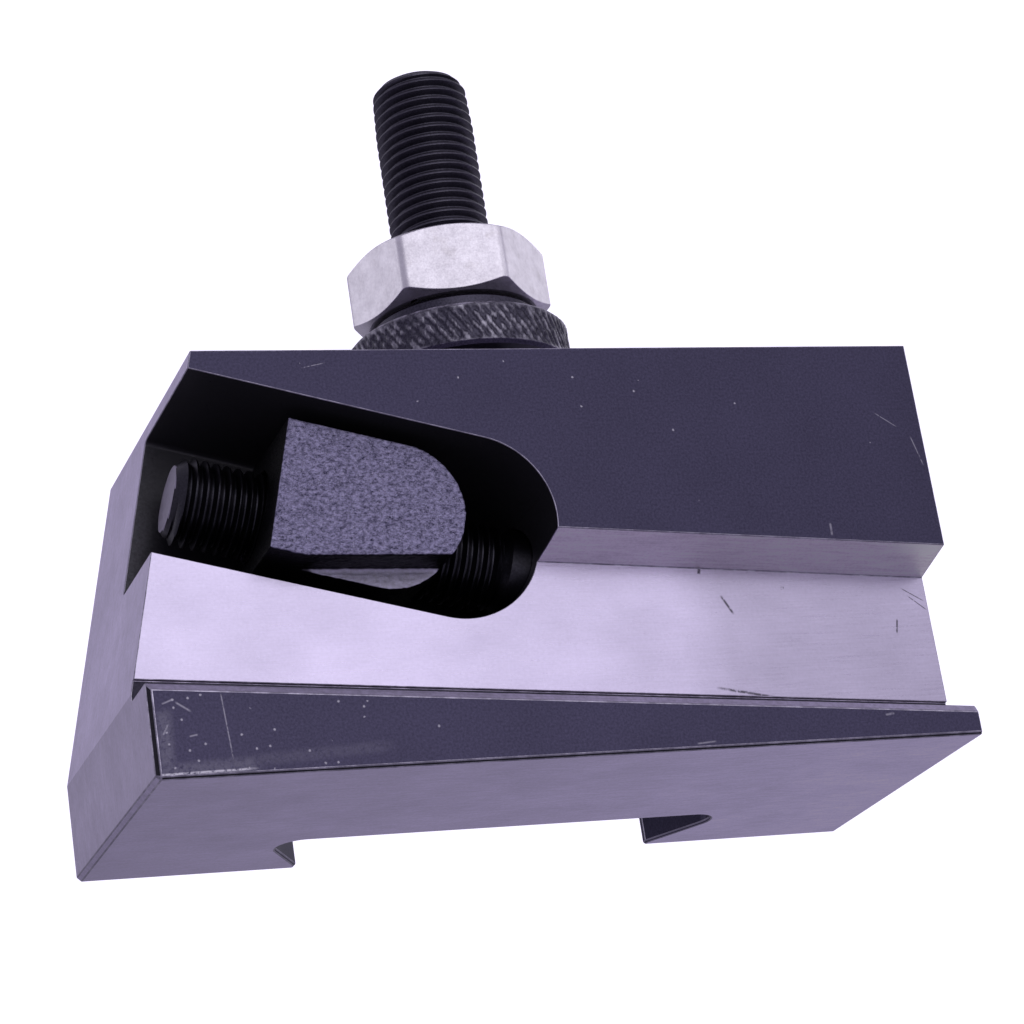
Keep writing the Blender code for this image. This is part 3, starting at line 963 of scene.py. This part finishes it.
def blast(obj):
    """Gives the block its fine uneven skin, in the mesh itself."""
    remesh = obj.modifiers.new("skin", "REMESH")
    remesh.mode = "VOXEL"
    remesh.voxel_size = BLAST_VOXEL
    smooth = obj.modifiers.new("rounding", "SMOOTH")
    smooth.factor = 0.5
    smooth.iterations = 3
    settle(obj)
    moved = []
    for vert, normal in zip(obj.data.vertices, obj.data.vertex_normals):
        place = vert.co / MM
        grit = noise.noise(place * 2.6) + 0.6 * noise.noise(place * 5.5)
        moved.extend(vert.co - normal.vector * BLAST_DEPTH * max(0.0, 0.6 + grit))
    obj.data.vertices.foreach_set("co", moved)
    obj.data.shade_smooth()


blasted = blasted_steel()
block = object_from(block_blank(), "clamp_block", blasted)
cut(block, ledge_tool(blasted))
screw_hole = turned([(BLOCK_BORE_RADIUS, -BLOCK_LENGTH - 2 * OVERRUN), (BLOCK_BORE_RADIUS, OVERRUN)])
cut(block, object_from(screw_hole, "screw_hole_tool", blasted, matrix=Matrix.Rotation(math.pi / 2, 4, "Y")))
blast(block)
block.data.transform(CLAMP_FRAME)
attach(block, "clamp_wedge")
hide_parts("clamp_wedge")


# ---------------------------------------------------------------------------
# Clamp screw
# A blacked fine-thread screw through the block. Its socket head seats in the
# counterbore in the right end, and its plain shank starts at the pocket's wall.

SCREW_RADIUS = 4.0 * MM
SCREW_TIP = 25.2 * MM
TIP_CHAMFER = 1.0 * MM
THREAD_END = 5.6 * MM
HEAD_RADIUS = 4.6 * MM
HEAD_HEIGHT = 6.0 * MM
HEAD_SINK = 5.0 * MM
HEAD_UNDERSIDE_CHAMFER = 0.3 * MM
HEAD_TOP_CHAMFER = 0.5 * MM
SCREW_BLACK = (0.044, 0.042, 0.054)
KEY_FLATS = 5.0 * MM
KEY_DEPTH = 3.5 * MM

screw_thread = threaded(SCREW_RADIUS, -SCREW_TIP, THREAD_END, TIP_CHAMFER)
screw_finish = black_oxide("blacked_screw", SCREW_BLACK, 0.34, specks=0.0)
screw = object_from(screw_thread, "socket_clamp_screw", screw_finish, matrix=ALONG_CLAMP)
tip_finish = ground_steel("bare_tip", (2.0, 2.0, 2.0), toned(GROUND, 0.5), 0.38)
screw.data.materials.append(tip_finish)
tip_place = ALONG_CLAMP @ Vector((0, 0, -SCREW_TIP))
for face in screw.data.polygons:
    if (face.center - tip_place).dot(clamp_direction) < 0.05 * MM:
        face.material_index = 1
smooth_round(screw)

head_top = (RIGHT - clamp_centre.x) / math.cos(CLAMP_FALL) - HEAD_SINK
head_bottom = head_top - HEAD_HEIGHT
shank_profile = [
    (SCREW_RADIUS - 0.65 * MM, THREAD_END - 0.4 * MM),
    (SCREW_RADIUS, THREAD_END + 0.25 * MM),
    (SCREW_RADIUS, head_bottom),
    (HEAD_RADIUS - HEAD_UNDERSIDE_CHAMFER, head_bottom),
    (HEAD_RADIUS, head_bottom + HEAD_UNDERSIDE_CHAMFER),
    (HEAD_RADIUS, head_top - HEAD_TOP_CHAMFER),
    (HEAD_RADIUS - HEAD_TOP_CHAMFER, head_top),
]
head = object_from(turned(shank_profile), "clamp_screw_head", screw_finish)
key_corner = KEY_FLATS / 2 / math.cos(math.pi / 6)
key_socket = hexagon_prism(key_corner, 0.0, head_top - KEY_DEPTH, head_top + OVERRUN)
cut(head, object_from(key_socket, "key_tool", screw_finish))
head.data.transform(ALONG_CLAMP)
smooth_round(head)
for piece in (screw, head):
    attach(piece, "clamp_screw")
    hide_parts("clamp_screw")


# ---------------------------------------------------------------------------
# Floor, light and camera
# A pale floor under the holder, a white room and four soft lights: the strongest in
# front, one to the front right, and one behind on each side. The camera looks up at
# the blade slot from the front left.

FLOOR_SIZE = 1.2
FLOOR_DROP = 0.02 * MM
# The room's colour, and how bright it is where it shows and in reflections of low and high.
ROOM_TINT = (0.98, 0.93, 1.15)
ROOM_SEEN = 1.2
ROOM_BELOW = 0.26
ROOM_ABOVE = 0.40
# Each light has a name, a place from the holder's middle, a width and a power.
LIGHTS = (
    ("front_light", (0.0, -0.53, 0.19), 0.54, 0.66),
    ("side_light", (0.40, -0.38, 0.19), 0.40, 0.20),
    ("left_light", (-0.50, 0.34, 0.20), 0.42, 0.26),
    ("right_light", (0.52, 0.18, 0.20), 0.42, 0.26),
)


def floor_paint():
    """Pale and matt from above, and clear from below."""
    nodes = Nodes("pale_floor")
    clouds = nodes.grain(nodes.stretched((0.02, 0.02, 0.02)), detail=2.0)
    nodes.finish(nodes.blend(clouds, (0.80, 0.80, 0.82), (0.84, 0.84, 0.86)), 0.8, 0.0)
    side = nodes.add("ShaderNodeNewGeometry")
    clear = nodes.add("ShaderNodeBsdfTransparent")
    mix = nodes.add("ShaderNodeMixShader")
    nodes.join(side.outputs["Backfacing"], mix.inputs[0])
    nodes.join(nodes.shader.outputs[0], mix.inputs[1])
    nodes.join(clear.outputs[0], mix.inputs[2])
    nodes.join(mix.outputs[0], nodes.tree.nodes["Material Output"].inputs["Surface"])
    return nodes.material


floor_mesh = bmesh.new()
bmesh.ops.create_circle(floor_mesh, cap_ends=True, segments=96, radius=FLOOR_SIZE)
bmesh.ops.translate(floor_mesh, verts=floor_mesh.verts, vec=(0, 0, -FLOOR_DROP))
floor = object_from(floor_mesh, "floor", floor_paint())
floor.visible_diffuse = False
floor.visible_glossy = False
floor.visible_transmission = False
floor.visible_shadow = False


def room_light():
    """White behind the holder, and a softer grey room in its reflections."""
    world = bpy.data.worlds.new("white_room")
    bpy.context.scene.world = world
    world.use_nodes = True
    tree = world.node_tree
    background = tree.nodes["Background"]
    background.inputs["Color"].default_value = (*ROOM_TINT, 1.0)
    place = tree.nodes.new("ShaderNodeTexCoord")
    split = tree.nodes.new("ShaderNodeSeparateXYZ")
    height = tree.nodes.new("ShaderNodeMapRange")
    height.inputs["From Min"].default_value = -1.0
    height.inputs["To Min"].default_value = ROOM_BELOW
    height.inputs["To Max"].default_value = ROOM_ABOVE
    path = tree.nodes.new("ShaderNodeLightPath")
    mix = tree.nodes.new("ShaderNodeMix")
    mix.data_type = "FLOAT"
    mix.inputs[3].default_value = ROOM_SEEN
    tree.links.new(place.outputs["Generated"], split.inputs[0])
    tree.links.new(split.outputs["Z"], height.inputs["Value"])
    tree.links.new(path.outputs["Is Camera Ray"], mix.inputs[0])
    tree.links.new(height.outputs["Result"], mix.inputs[2])
    tree.links.new(mix.outputs[0], background.inputs["Strength"])


def soft_light(name, place, target, width, power):
    """A round soft light at a place, turned to its target."""
    data = bpy.data.lights.new(name, "AREA")
    data.shape = "DISK"
    data.size = width
    data.energy = power
    light = bpy.data.objects.new(name, data)
    bpy.context.scene.collection.objects.link(light)
    light.location = place
    light.rotation_euler = (Vector(target) - Vector(place)).to_track_quat("-Z", "Y").to_euler()


room_light()
middle = (cad_low + cad_high) / 2
for name, offset, width, power in LIGHTS:
    soft_light(name, middle + Vector(offset), middle, width, power)

CAMERA_PLACE = Vector((-0.10045, -0.25846, -0.06745))
CAMERA_RIGHT = Vector((0.936, -0.3197, -0.147))
CAMERA_UP = Vector((0.025, -0.357, 0.934))
CAMERA_LENS = 110.6
camera_data = bpy.data.cameras.new("camera")
camera_data.lens = CAMERA_LENS
camera_data.sensor_width = 36.0
camera_data.clip_start = 0.01
camera_data.clip_end = 20.0
camera = bpy.data.objects.new("camera", camera_data)
bpy.context.scene.collection.objects.link(camera)
side = CAMERA_RIGHT.normalized()
back = side.cross(CAMERA_UP).normalized()
up = back.cross(side)
camera.matrix_world = Matrix.Translation(CAMERA_PLACE) @ Matrix((side, up, back)).transposed().to_4x4()
bpy.context.scene.camera = camera
bpy.context.scene.view_settings.view_transform = "Standard"
